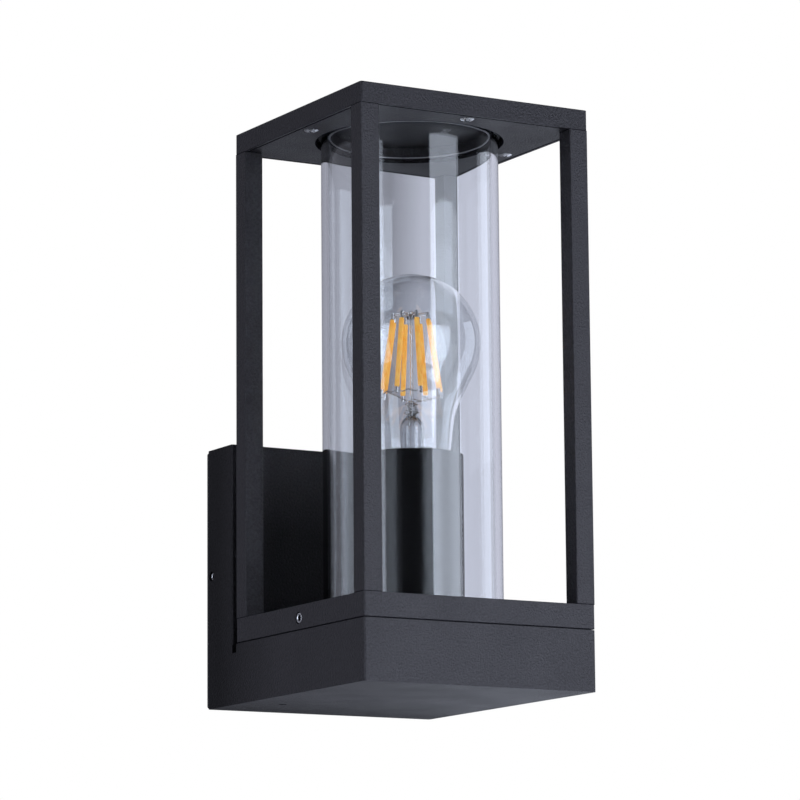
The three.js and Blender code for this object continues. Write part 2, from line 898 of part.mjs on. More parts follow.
function bulbOutline(inset, steps) {
  const waist = [
    [11.2, 36],
    [11.2, 43.6],
    [12.4, 45],
    [15, 47.6],
    [17.2, 51],
    [18.1, 56],
    [18.7, 62],
    [20, 70],
    [22.3, 76.2],
    [25.2, 81.6],
  ].map(([r, z]) => [r - inset, z + (z > 36 ? inset * 0.3 : 0)]);
  const radius = BULB_RADIUS - inset;
  const sphere = [];
  for (let i = 0; i <= steps; i++) {
    const a = SPHERE_START + ((Math.PI / 2 - SPHERE_START) * i) / steps;
    sphere.push([
      i === steps ? 0 : radius * Math.cos(a),
      BULB_CENTRE + radius * Math.sin(a),
    ]);
  }
  return [...waist, ...sphere];
}

function bulbGlass() {
  const outer = bulbOutline(0, 9);
  const inner = bulbOutline(BULB_WALL, 9);
  return lathe([...inner.reverse(), ...outer], 32);
}

add("bulb_glass", bulbGlass(), clearGlass);

// E27 screw cap: a thin shell whose thread fades out at both ends, with its foot drawn in.
function bulbCap() {
  const taper = (z) => 2.4 * Math.max(0, 1 - (z - CAP_BOTTOM) / 2.2);
  const fade = (z) =>
    THREE.MathUtils.clamp(
      Math.min((z - CAP_BOTTOM - 1.5) / 2.5, (CAP_RIM - 1.5 - z) / 2),
      0,
      1,
    );
  const thread = (angle, z) =>
    THREAD_ROOT - taper(z) + fade(z) * threadHeight(angle, z);
  const innerWall = (angle, z) => THREAD_ROOT - 0.5 - taper(z);
  const rows = [
    ...THREAD_LEVELS.map((z) => [thread, z]),
    [innerWall, CAP_RIM],
    [innerWall, CAP_BOTTOM + 2.2],
    [innerWall, CAP_BOTTOM],
  ];
  return shapedTube(rows, THREAD_SEGMENTS);
}

add("bulb_cap", bulbCap(), nickel);

add(
  "bulb_insulator",
  lathe(
    [
      [3, 19.4],
      [6.4, 19.4],
      [9.8, 21.9],
      [9, 21.9],
      [9, 23.4],
      [3, 23.4],
      [3, 19.4],
    ],
    24,
  ),
  blackGlass,
);

add(
  "bulb_contact",
  lathe(
    [
      [0, CONTACT_TIP],
      [3, CONTACT_TIP + 0.4],
      [5.2, CONTACT_TIP + 1.6],
      [5.2, 19.2],
      [2.6, 19.2],
      [2.6, 22],
      [0, 22],
    ],
    20,
  ),
  brass,
);

// Glass stem: a flared tube, a pinched end, and a thin rod with a bead on top.
const BEAD_Z = 116.2;
add(
  "bulb_stem",
  lathe(
    [
      [0, 66],
      [4.6, 63],
      [4.6, 46],
      [6, 41.5],
      [9, 38.2],
      [9.8, 38.2],
      [7, 42],
      [5.6, 46.5],
      [5.6, 66],
      [3.6, 70],
      [3.2, 75],
      [1, 76.5],
      [1, BEAD_Z - 2],
      [2.2, BEAD_Z - 1],
      [2.2, BEAD_Z + 1],
      [0, BEAD_Z + 2.2],
    ],
    20,
  ),
  clearGlass,
);

function filamentAngle(i) {
  return (FILAMENT_PHASE * Math.PI) / 180 + (i * 2 * Math.PI) / FILAMENTS;
}

function around(angle, r, z) {
  return [r * Math.cos(angle), AXIS_Y + r * Math.sin(angle), z];
}

const FILAMENT_RADIUS = 1.15;
const LEAD_RADIUS = 0.35;
for (let i = 0; i < FILAMENTS; i++) {
  const a = filamentAngle(i);
  const { r: r0, z: z0 } = FILAMENT_BOTTOM;
  const { r: r1, z: z1 } = FILAMENT_TOP;
  add(
    `filament_${i + 1}`,
    strut(around(a, r0, z0), around(a, r1, z1), FILAMENT_RADIUS),
    phosphor,
  );
}

// Spider that joins the filaments' upper ends over the bead.
function topBridge() {
  const z = BEAD_Z + 0.6;
  const legs = [];
  for (let i = 0; i < FILAMENTS; i++) {
    const a = filamentAngle(i);
    const end = around(a, FILAMENT_TOP.r, FILAMENT_TOP.z + 0.8);
    legs.push(strut(around(a, 2.8, z), end, LEAD_RADIUS, 6));
  }
  return join(ring(2.4, 3.2, z - 0.6, z + 0.6, 16), ...legs);
}

add("top_bridge", topBridge(), nickel);

// Lead-in wire: rises from the pinch and runs round under half of the filaments.
function leadIn(side) {
  const z = FILAMENT_BOTTOM.z - 0.75;
  const half = ((FILAMENTS / 2 - 1) * Math.PI) / FILAMENTS;
  const middle = filamentAngle(side > 0 ? -0.5 : FILAMENTS / 2 - 0.5);
  const points = [
    [side * 4.4, AXIS_Y, 71],
    [side * 8, AXIS_Y, 74],
    around(middle + half, FILAMENT_BOTTOM.r - 1, z - 1),
  ];
  for (let k = FILAMENTS / 2 - 1; k >= 0; k--) {
    const a = middle - half + (k * 2 * Math.PI) / FILAMENTS;
    points.push(around(a, FILAMENT_BOTTOM.r, z));
  }
  return wire(points, LEAD_RADIUS, 24, 6);
}

add("lead_in_left", leadIn(-1), nickel);
add("lead_in_right", leadIn(1), nickel);

export default lantern;
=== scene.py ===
"""Outdoor wall lantern: the looks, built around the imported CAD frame.

Metres, +Z up, the wall on the +Y side. Shapes made here are written in millimetres and scaled once.
"""

import math

import bmesh
import bpy
from mathutils import Matrix, Vector
from mathutils.geometry import interpolate_bezier


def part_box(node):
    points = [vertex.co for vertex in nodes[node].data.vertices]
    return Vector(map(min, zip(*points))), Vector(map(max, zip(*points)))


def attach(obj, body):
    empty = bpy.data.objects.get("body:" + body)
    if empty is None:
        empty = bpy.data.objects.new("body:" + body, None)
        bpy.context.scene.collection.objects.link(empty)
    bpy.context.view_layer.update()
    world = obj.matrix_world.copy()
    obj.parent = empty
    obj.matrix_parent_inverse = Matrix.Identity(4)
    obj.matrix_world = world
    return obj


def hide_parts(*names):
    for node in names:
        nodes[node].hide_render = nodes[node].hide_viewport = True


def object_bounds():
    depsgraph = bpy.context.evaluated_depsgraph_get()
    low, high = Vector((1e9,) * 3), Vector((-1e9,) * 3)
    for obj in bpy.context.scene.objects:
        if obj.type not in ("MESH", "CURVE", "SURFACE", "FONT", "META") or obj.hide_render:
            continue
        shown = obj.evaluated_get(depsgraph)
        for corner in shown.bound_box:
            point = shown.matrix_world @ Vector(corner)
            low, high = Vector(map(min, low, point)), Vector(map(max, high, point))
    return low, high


MM = 0.001

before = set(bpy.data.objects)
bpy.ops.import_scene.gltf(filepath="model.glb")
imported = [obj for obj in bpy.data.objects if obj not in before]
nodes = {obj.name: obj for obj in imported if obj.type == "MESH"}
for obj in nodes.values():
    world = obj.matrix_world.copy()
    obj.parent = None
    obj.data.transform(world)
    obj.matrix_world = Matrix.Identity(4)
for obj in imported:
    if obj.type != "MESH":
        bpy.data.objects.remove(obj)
cad_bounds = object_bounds()


# ---- Places read from the frame -----------------------------------------------------------------

MIDDLE = (Vector(cad_bounds[0]) + Vector(cad_bounds[1])) / 2
GLASS_LOW, GLASS_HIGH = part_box("glass_tube")
AXIS = Vector((0, (GLASS_LOW.y + GLASS_HIGH.y) / 2, 0))  # the glass, bulb and holder share it
PLATE_LOW, PLATE_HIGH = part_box("top_plate")
FRAME_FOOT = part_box("cage_base")[0].z
POST_FOOT, POST_TOP = (corner.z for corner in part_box("post_front_left"))


# ---- Camera -------------------------------------------------------------------------------------

# In degrees: about the vertical, up from the horizon, and a swing about the camera's own upright
# axis, which comes first. Together they look 30 degrees to the right and 10 degrees up.
CAMERA_YAW = -27.285
CAMERA_PITCH = 9.748
CAMERA_SWING = -2.818
CAMERA_PLACE = Vector((0.0021, 0.0056, 1.888))  # right, up and back from the lantern's middle
CAMERA_LENS = 182.98

camera_data = bpy.data.cameras.new("camera")
camera_data.lens = CAMERA_LENS
camera_data.sensor_width = 36
camera_data.clip_start = 0.01
camera = bpy.data.objects.new("camera", camera_data)
camera.rotation_mode = "YXZ"
camera.rotation_euler = (
    math.radians(90 + CAMERA_PITCH),
    math.radians(CAMERA_SWING),
    math.radians(CAMERA_YAW),
)
camera.location = MIDDLE + camera.rotation_euler.to_matrix() @ CAMERA_PLACE
bpy.context.scene.collection.objects.link(camera)
bpy.context.scene.camera = camera


# ---- Node helpers -------------------------------------------------------------------------------


def new_material(name, **values):
    """A Principled material, with the given sockets set by name."""
    material = bpy.data.materials.new(name)
    material.use_nodes = True
    shader = material.node_tree.nodes["Principled BSDF"]
    for key, value in values.items():
        socket = shader.inputs[key.replace("_", " ")]
        if socket.type == "RGBA" and len(value) == 3:
            value = (*value, 1)
        socket.default_value = value
    return material, material.node_tree, shader


def node(tree, kind, **settings):
    """A new node, with its inputs or its own settings set by name."""
    made = tree.nodes.new(kind)
    for key, value in settings.items():
        if key in made.inputs:
            made.inputs[key].default_value = value
        else:
            setattr(made, key, value)
    return made


def feed(tree, socket, value):
    """Gives an input a number, a colour or the value of another node's output."""
    if isinstance(value, bpy.types.NodeSocket):
        tree.links.new(value, socket)
    elif socket.type == "RGBA":
        socket.default_value = (*value, 1)
    else:
        socket.default_value = value


def coordinates(tree, kind="Object"):
    """The X, Y and Z outputs of a texture coordinate."""
    place = node(tree, "ShaderNodeTexCoord")
    split = node(tree, "ShaderNodeSeparateXYZ")
    tree.links.new(place.outputs[kind], split.inputs["Vector"])
    return split.outputs


def noise(tree, scale, detail=2.0, roughness=0.5):
    """Noise in the object's own space; scale is the size of one grain in millimetres."""
    place = node(tree, "ShaderNodeTexCoord")
    made = node(
        tree, "ShaderNodeTexNoise", Scale=1 / (scale * MM), Detail=detail, Roughness=roughness
    )
    tree.links.new(place.outputs["Object"], made.inputs["Vector"])
    return made.outputs["Fac"]


def remap(tree, value, low, high, from_low=0.3, from_high=0.7):
    """A value stretched to run from low to high; unless given, its own range is that of noise."""
    made = node(tree, "ShaderNodeMapRange")
    tree.links.new(value, made.inputs["Value"])
    made.inputs["From Min"].default_value = from_low
    made.inputs["From Max"].default_value = from_high
    made.inputs["To Min"].default_value = low
    made.inputs["To Max"].default_value = high
    return made.outputs["Result"]


def mix_colour(tree, factor, a, b, blend_type="MIX"):
    """A mix of two colours or colour outputs."""
    made = node(tree, "ShaderNodeMix", data_type="RGBA", blend_type=blend_type)
    for name, value in (("Factor", factor), ("A", a), ("B", b)):
        feed(tree, made.inputs[name], value)
    return made.outputs["Result"]


def maths(tree, operation, a, b=0):
    """The result of an operation on one or two values or outputs."""
    made = node(tree, "ShaderNodeMath", operation=operation)
    for socket, value in zip(made.inputs, (a, b)):
        feed(tree, socket, value)
    return made.outputs["Value"]


def largest(tree, first, *others):
    """The largest of some outputs."""
    for other in others:
        first = maths(tree, "MAXIMUM", first, other)
    return first


def within(tree, value, low, high):
    """1 where the value lies between the limits, else 0."""
    above = maths(tree, "GREATER_THAN", value, low)
    return maths(tree, "MULTIPLY", above, maths(tree, "LESS_THAN", value, high))


def light_path(tree):
    """The light path's outputs, and 1 for rays that no surface has thrown off their way.

    Passing through glass doesn't count.
    """
    rays = node(tree, "ShaderNodeLightPath").outputs
    bounces = maths(tree, "ADD", rays["Glossy Depth"], rays["Diffuse Depth"])
    return rays, maths(tree, "LESS_THAN", bounces, 0.5)


def vary(tree, shader, pattern, dark, light, rough_dark, rough_light):
    """Colour and roughness that follow a pattern between two values each."""
    colour = mix_colour(tree, remap(tree, pattern, 0, 1), dark, light)
    tree.links.new(colour, shader.inputs["Base Color"])
    tree.links.new(remap(tree, pattern, rough_dark, rough_light), shader.inputs["Roughness"])


def bump(tree, shader, height, depth, strength):
    """Bump of the given depth in millimetres."""
    made = node(tree, "ShaderNodeBump", Distance=depth * MM, Strength=strength)
    tree.links.new(height, made.inputs["Height"])
    tree.links.new(made.outputs["Normal"], shader.inputs["Normal"])


# ---- Materials ----------------------------------------------------------------------------------

GLOSS = 0.5  # specular level of paint

# Bands of height where a powder-coated piece is in the shadow of the next one; that shadow is
# painted there as a lack of gloss.
JOINT_SHADOWS = (
    (FRAME_FOOT, FRAME_FOOT + 0.25 * MM),
    (POST_FOOT + 0.02 * MM, POST_FOOT + 0.35 * MM),
    (POST_TOP - 0.35 * MM, POST_TOP),
)

PLATE_SEAM_SHADOW = 0.5 * MM  # width of the painted shadow line along the top plate's edge
COLLAR_INNER, COLLAR_OUTER = 36.5 * MM, 37.9 * MM  # radii just past the collar's walls
COLLAR_FOOT = 199.9 * MM  # only the collar's rim is lower
CHANNEL_EDGE_SHADE = (42.8 * MM, 44.0 * MM)  # radii about the outer edge of the glass's channel, where shade is painted


def powder_coat_material(name, painted_shade_share=1, gloss=GLOSS, joints=()):
    """Black fine-textured powder coat: small round grains, and slow changes of gloss.

    Painted shade: on the sides, and on the front below its top, colour and gloss fall to a share of
    themselves towards the wall. Joints are bands of height without gloss, painted shadow where one
    piece meets the next.
    """
    material, tree, shader = new_material(
        name, Specular_IOR_Level=gloss, Specular_Tint=(1, 0.96, 0.98)
    )
    grain = noise(tree, 1.0, 3, 0.65)
    cloud = noise(tree, 22, 3)
    place = coordinates(tree)
    level = shader.inputs["Specular IOR Level"]
    colour = mix_colour(
        tree, remap(tree, grain, 0, 1), (0.0008, 0.0008, 0.001), (0.025, 0.0235, 0.029)
    )
    # Painted shade: colour and gloss fall towards the wall, to the given share.
    if painted_shade_share < 1:
        wall_shade_ramp = remap(tree, place["Y"], 0, 1, -70 * MM, -12 * MM)
        shade_below_top = remap(tree, place["Z"], 1, 0, 20 * MM, 58 * MM)
        shade_on_sides = maths(tree, "ABSOLUTE", coordinates(tree, "Normal")["X"])
        shade = maths(tree, "MULTIPLY", wall_shade_ramp, largest(tree, shade_on_sides, shade_below_top))
        tree.links.new(remap(tree, shade, gloss, gloss * painted_shade_share, 0, 1), level)
        colour = mix_colour(tree, shade, colour, (painted_shade_share,) * 3, "MULTIPLY")
    # Painted shadow: no gloss in the joint bands.
    if joints:
        shadow = largest(tree, *(within(tree, place["Z"], *band) for band in joints))
        tree.links.new(remap(tree, shadow, gloss, 0, 0, 1), level)
    tree.links.new(colour, shader.inputs["Base Color"])
    tree.links.new(remap(tree, cloud, 0.43, 0.5), shader.inputs["Roughness"])
    bump(tree, shader, grain, 0.5, 1)
    return material, tree, shader


def top_plate_material():
    """Powder coat, with a painted highlight on the rim of the collar that the glass slides over:
    grey metal there.

    It has no gloss in the roof seam and at the channel's edge, and half of it in the recess:
    painted shade.
    """
    material, tree, shader = powder_coat_material("top_plate_coat")
    place = coordinates(tree)
    x = maths(tree, "ABSOLUTE", place["X"])
    y = maths(tree, "ABSOLUTE", maths(tree, "SUBTRACT", place["Y"], AXIS.y))
    squares = (maths(tree, "POWER", side, 2) for side in (x, y))
    radius = maths(tree, "SQRT", maths(tree, "ADD", *squares))

    # Painted highlight: the collar's rim is a grey metal ring.
    on_rim = maths(tree, "LESS_THAN", place["Z"], COLLAR_FOOT)
    collar = maths(tree, "MULTIPLY", within(tree, radius, COLLAR_INNER, COLLAR_OUTER), on_rim)
    coat = shader.inputs["Base Color"].links[0].from_socket
    painted_highlight = mix_colour(tree, collar, coat, (0.36, 0.36, 0.38))
    tree.links.new(painted_highlight, shader.inputs["Base Color"])
    tree.links.new(collar, shader.inputs["Metallic"])

    # Painted shade: no gloss in the seam and at the channel's edge, and half of it in the recess.
    seam = maths(tree, "GREATER_THAN", largest(tree, x, y), PLATE_HIGH.x - PLATE_SEAM_SHADOW)
    recess = maths(tree, "MULTIPLY", maths(tree, "LESS_THAN", radius, COLLAR_INNER), 0.52)
    shade = largest(tree, seam, within(tree, radius, *CHANNEL_EDGE_SHADE), recess)
    tree.links.new(remap(tree, shade, GLOSS, 0, 0, 1), shader.inputs["Specular IOR Level"])
    return material


def satin_black_material():
    """Smooth black lacquer, glossier than the castings."""
    material, tree, shader = new_material("satin_black", Specular_IOR_Level=0.42)
    cloud = noise(tree, 14, 2)
    vary(tree, shader, cloud, (0.0025, 0.0025, 0.0028), (0.004, 0.004, 0.0044), 0.22, 0.26)
    bump(tree, shader, noise(tree, 0.8), 0.004, 0.3)
    return material


def glass_material(name, tint):
    """Clear glass; its surface waves very slightly, as drawn and blown glass does."""
    material, tree, shader = new_material(
        name, Base_Color=tint, Roughness=0, IOR=1.5, Transmission_Weight=1
    )
    bump(tree, shader, noise(tree, 30, 1), 0.005, 0.4)
    return material


def metal_material(name, colour, rough_low, rough_high, grain=1.5, metallic=1):
    """Metal with duller, darker spots."""
    material, tree, shader = new_material(name, Metallic=metallic)
    dark = tuple(0.72 * c for c in colour)
    vary(tree, shader, noise(tree, grain, 4, 0.6), dark, colour, rough_high, rough_low)
    bump(tree, shader, noise(tree, 0.3), 0.01, 0.3)
    return material


def moulded_material(name, colour, roughness, grain=0.4, depth=0.01):
    """Moulded plastic, rubber or ceramic, with a fine grain of the given size and depth."""
    material, tree, shader = new_material(name)
    dark = tuple(0.82 * c for c in colour)
    vary(tree, shader, noise(tree, 6, 3), dark, colour, roughness - 0.06, roughness + 0.06)
    bump(tree, shader, noise(tree, grain), depth, 0.5)
    return material


def phosphor_material():
    """Coated LED filament: orange-yellow with fine lumps, with a painted glow that stands in for
    the daylight on it.
    """
    material, tree, shader = new_material("phosphor", Roughness=0.42, Emission_Strength=0.62)
    cloud = remap(tree, noise(tree, 3.5, 2), 0, 1)
    colour = mix_colour(tree, cloud, (0.88, 0.4, 0.05), (1.0, 0.56, 0.13))
    tree.links.new(colour, shader.inputs["Base Color"])
    # Painted light: the filament glows in its own colour.
    tree.links.new(colour, shader.inputs["Emission Color"])
    bump(tree, shader, noise(tree, 1.1), 0.05, 0.5)
    return material


POWDER = powder_coat_material("powder_coat", joints=JOINT_SHADOWS)[0]
# A shaded copy of the powder coat: painted shade on the housing towards the wall.
BODY_POWDER_SHADED = powder_coat_material("body_powder_coat_wall_shade", painted_shade_share=0.3)[0]
ROOF_POWDER = powder_coat_material("roof_powder_coat", gloss=0.44)[0]
SATIN = satin_black_material()
TUBE_GLASS = glass_material("tube_glass", (0.965, 0.98, 0.985))
BULB_GLASS = glass_material("bulb_glass", (0.95, 0.96, 0.97))
STEM_GLASS = glass_material("stem_glass", (0.96, 0.97, 0.98))
STEEL = metal_material("stainless", (0.8, 0.8, 0.82), 0.18, 0.34)
# Painted shade: the screws' sockets and cross recesses get a dark metal.
SHADED_RECESS_METAL = metal_material("recess_painted_shade", (0.12, 0.12, 0.13), 0.35, 0.5)
ZINC = metal_material("zinc_steel", (0.5, 0.53, 0.56), 0.3, 0.5, 4)
BRASS = metal_material("brass", (0.78, 0.56, 0.24), 0.2, 0.38)
NICKEL = metal_material("nickel", (0.72, 0.71, 0.69), 0.12, 0.26)
TINNED = metal_material("tinned_wire", (0.95, 0.95, 0.96), 0.1, 0.25, metallic=0.65)
BLACK_PLASTIC = moulded_material("black_plastic", (0.016, 0.016, 0.018), 0.4)
BLACK_GLASS = moulded_material("black_glass", (0.006, 0.006, 0.008), 0.12, 2, 0.02)
WHITE_PLASTIC = moulded_material("white_plastic", (0.76, 0.74, 0.68), 0.45)
STEATITE = moulded_material("steatite", (0.8, 0.76, 0.66), 0.62, 0.25, 0.03)
SILICONE = moulded_material("silicone", (0.58, 0.58, 0.57), 0.45)
RUBBER = moulded_material("rubber", (0.014, 0.014, 0.015), 0.8, 0.5, 0.06)
PHOSPHOR = phosphor_material()
SLEEVES = {
    "live_wire": moulded_material("brown_sleeve", (0.16, 0.055, 0.022), 0.42),
    "neutral_wire": moulded_material("blue_sleeve", (0.02, 0.1, 0.42), 0.42),
    "earth_wire": moulded_material("green_sleeve", (0.2, 0.42, 0.05), 0.42),
}


# ---- CAD nodes that keep their shape ------------------------------------------------------------


def weigh_normals(piece):
    """Keeps large faces flat beside rounded edges, so that reflections in them stay straight."""
    weighted = piece.modifiers.new("normals", "WEIGHTED_NORMAL")
    weighted.mode = "FACE_AREA"
    weighted.weight = 100
    weighted.keep_sharp = True


def round_edges(piece, radius, segments, angle):
    """Rounds the edges sharper than an angle in degrees, by a radius in millimetres."""
    rounding = piece.modifiers.new("rounding", "BEVEL")
    rounding.width = radius * MM
    rounding.segments = segments
    rounding.limit_method = "ANGLE"
    rounding.angle_limit = math.radians(angle)
    weigh_normals(piece)


WELD_DISTANCE = 0.002 * MM
FLAT_ANGLE = math.radians(1)  # faces nearer to one plane than this are joined


def finish_node(name, material, edge, segments=2):
    """Material and rounded edges on a CAD node; edge is the radius in millimetres."""
    piece = nodes[name]
    piece.data.materials.clear()
    piece.data.materials.append(material)
    with bpy.context.temp_override(object=piece, active_object=piece):
        bpy.ops.mesh.customdata_custom_splitnormals_clear()
    piece.data.shade_smooth()
    weld = piece.modifiers.new("weld", "WELD")
    weld.merge_threshold = WELD_DISTANCE
    flats = piece.modifiers.new("flats", "DECIMATE")
    flats.decimate_type = "DISSOLVE"
    flats.angle_limit = FLAT_ANGLE
    round_edges(piece, edge, segments, 50)


CORNERS = ("front_left", "front_right", "rear_left", "rear_right")
finish_node("body_casting", BODY_POWDER_SHADED, 0.35, 3)
finish_node("cage_base", POWDER, 0.3, 3)
finish_node("roof", ROOF_POWDER, 0.4, 3)
finish_node("top_plate", top_plate_material(), 0.3)
for corner in CORNERS:
    finish_node(f"post_{corner}", POWDER, 0.35, 3)
    finish_node(f"post_screw_bottom_{corner}", STEEL, 0.15)
    finish_node(f"post_screw_top_{corner}", STEEL, 0.15)
for name in ("wall_gasket", "frame_seal"):
    finish_node(name, RUBBER, 0.15)
for name in ("wall_bracket", "nipple_nut_lower", "nipple_nut_upper"):
    finish_node(name, ZINC, 0.2)
for name in ("earth_screw", "centre_contact", "lampholder_nipple", "socket_shell"):
    finish_node(name, BRASS, 0.1)
for name in ("lampholder_base", "lampholder_body"):
    finish_node(name, BLACK_PLASTIC, 0.3)
finish_node("lampholder_core", STEATITE, 0.2)
finish_node("terminal_block", WHITE_PLASTIC, 0.3)
for name, sleeve in SLEEVES.items():
    finish_node(name, sleeve, 0.1)
finish_node("glass_seat_gasket", SILICONE, 0.2)
finish_node("glass_top_gasket", RUBBER, 0.2)


# ---- Shape helpers ------------------------------------------------------------------------------


def new_piece(name, vertices, faces, material, body, smooth_angle):
    """A mesh object, in millimetres, that rides on a body; sharper edges than the angle stay."""
    mesh = bpy.data.meshes.new(name)
    mesh.from_pydata([MM * Vector(v) for v in vertices], [], faces)
    mesh.materials.append(material)
    tidy = bmesh.new()
    tidy.from_mesh(mesh)
    bmesh.ops.remove_doubles(tidy, verts=tidy.verts, dist=1e-7)
    bmesh.ops.recalc_face_normals(tidy, faces=tidy.faces)
    tidy.to_mesh(mesh)
    tidy.free()
    mesh.shade_smooth()
    mesh.set_sharp_from_angle(angle=math.radians(smooth_angle))
    piece = bpy.data.objects.new(name, mesh)
    bpy.context.scene.collection.objects.link(piece)
    weigh_normals(piece)
    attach(piece, body)
    return piece


def around(angle, radius, height):
    """A point in millimetres at an angle about the lantern's axis."""
    centre = AXIS / MM
    return (
        centre.x + radius * math.cos(angle),
        centre.y + radius * math.sin(angle),
        height,
    )


def band(a, b, count):
    """The faces between two rings of vertices, which start at a and b."""
    return [(a + i, a + (i + 1) % count, b + (i + 1) % count, b + i) for i in range(count)]


def lathe(name, profile, material, body, segments, closed=True, smooth_angle=40):
    """Turns a profile of (radius, height) about the lantern's axis."""
    vertices = [
        around(2 * math.pi * i / segments, radius, height)
        for radius, height in profile
        for i in range(segments)
    ]
    rows = len(profile)
    faces = []
    for j in range(rows if closed else rows - 1):
        faces += band(j * segments, (j + 1) % rows * segments, segments)
    return new_piece(name, vertices, faces, material, body, smooth_angle)


def arc(centre, radius, start, end, steps):
    """Points on an arc of a profile, from one angle in degrees to another."""
    points = []
    for i in range(steps + 1):
        a = math.radians(start + (end - start) * i / steps)
        points.append(
            (centre[0] + radius * math.cos(a), centre[1] + radius * math.sin(a))
        )
    return points


def smooth_path(points, steps):
    """A smooth line through the points, with steps points on each stretch."""
    line = [Vector(p) for p in points]
    tangents = []
    for i in range(len(line)):
        before, after = line[max(i - 1, 0)], line[min(i + 1, len(line) - 1)]
        tangents.append((after - before) / 6)
    path = []
    for a, b, ta, tb in zip(line, line[1:], tangents, tangents[1:]):
        path += interpolate_bezier(a, a + ta, b - tb, b, steps)[:-1]
    return path + [line[-1]]


def wire(name, node_name, paths, radius, tabs, tab_radius):
    """Tinned wires of the bulb along lists of points, in millimetres; their tabs are thicker."""
    curve = bpy.data.curves.new(name, "CURVE")
    curve.dimensions = "3D"
    curve.bevel_depth = radius * MM
    curve.bevel_resolution = 4
    curve.use_fill_caps = True
    for path in (*paths, *tabs):
        spline = curve.splines.new("POLY")
        spline.points.add(len(path) - 1)
        for point, place in zip(spline.points, path):
            point.co = (*(MM * Vector(place)), 1)
            point.radius = tab_radius / radius if path in tabs else 1
    curve.materials.append(TINNED)
    piece = bpy.data.objects.new(name, curve)
    bpy.context.scene.collection.objects.link(piece)
    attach(piece, "bulb")
    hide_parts(node_name)


# ---- Glass tube ---------------------------------------------------------------------------------

TUBE_WALL = 3.0
TUBE_LIP = 0.6
tube_outer = (GLASS_HIGH.x - GLASS_LOW.x) / 2 / MM


def walled_ring(outer, inner, low, high, lip):
    """Profile of a ring with round lips; a row close to each lip keeps the walls straight."""
    beside = lip + 0.3
    return [
        *arc((outer - lip, low + lip), lip, -90, 0, 4),
        (outer, low + beside),
        (outer, high - beside),
        *arc((outer - lip, high - lip), lip, 0, 90, 4),
        *arc((inner + lip, high - lip), lip, 90, 180, 4),
        (inner, high - beside),
        (inner, low + beside),
        *arc((inner + lip, low + lip), lip, 180, 270, 4),
    ]


tube = lathe(
    "glass_cylinder",
    walled_ring(
        tube_outer, tube_outer - TUBE_WALL, GLASS_LOW.z / MM, GLASS_HIGH.z / MM, TUBE_LIP
    ),
    TUBE_GLASS,
    "cage",
    segments=192,
)
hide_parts("glass_tube")


# ---- Lampholder cover ---------------------------------------------------------------------------

COVER_WALL = 1.5
FOOT_ROUND = 0.8
RIM_ROUND = 0.5
COVER_HOLE = 5.3  # radius, round the nipple
cover_low, cover_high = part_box("lampholder_cover")
cover_outer = (cover_high.x - cover_low.x) / 2 / MM
cover_inner = cover_outer - COVER_WALL
cover_foot, cover_top = cover_low.z / MM, cover_high.z / MM
cover = lathe(
    "holder_cup",
    [
        (COVER_HOLE, cover_foot),
        *arc((cover_outer - FOOT_ROUND, cover_foot + FOOT_ROUND), FOOT_ROUND, -90, 0, 4),
        *arc((cover_outer - RIM_ROUND, cover_top - RIM_ROUND), RIM_ROUND, 0, 90, 4),
        *arc((cover_inner + RIM_ROUND, cover_top - RIM_ROUND), RIM_ROUND, 90, 180, 4),
        (cover_inner, cover_foot + COVER_WALL),
        (COVER_HOLE, cover_foot + COVER_WALL),
    ],
    SATIN,
    "housing",
    segments=128,
)
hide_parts("lampholder_cover")


# ---- Bulb ---------------------------------------------------------------------------------------

bulb_low, bulb_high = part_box("bulb_glass")
BULB_RADIUS = (bulb_high.x - bulb_low.x) / 2 / MM
BULB_CENTRE = bulb_high.z / MM - BULB_RADIUS
BULB_WALL = 0.3
POLE = 0.0001  # radius of a profile's end on the axis
BULB_WAIST = [  # (radius, height), up the neck from inside the cap
    (11.2, 36),
    (11.2, 43.6),
    (12.4, 45),
    (15, 47.6),
    (17.2, 51),
    (18.1, 56),
    (18.7, 62),
    (20, 70),
    (22.3, 76.2),
    (25.2, 81.6),
]


def bulb_profile(inset):
    """The bulb's outline from neck to crown, moved in by the wall's thickness for the inside."""
    radius = BULB_RADIUS - inset
    crown = arc((0, BULB_CENTRE), radius, -30, 90, 48)
    waist = [(r - inset, z) for r, z in BULB_WAIST]
    waist = smooth_path([Vector((r, 0, z)) for r, z in waist + crown[:2]], 8)
    waist = [(p.x, p.z) for p in waist if p.z < crown[0][1]]
    return waist + crown[:-1] + [(POLE, BULB_CENTRE + radius)]


bulb = lathe(
    "bulb_envelope",
    [*reversed(bulb_profile(BULB_WALL)), *bulb_profile(0)],
    BULB_GLASS,
    "bulb",
    segments=128,
    closed=False,
)
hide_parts("bulb_glass")

finish_node("bulb_cap", NICKEL, 0.1)
finish_node("bulb_insulator", BLACK_GLASS, 0.2)
finish_node("bulb_contact", BRASS, 0.2)

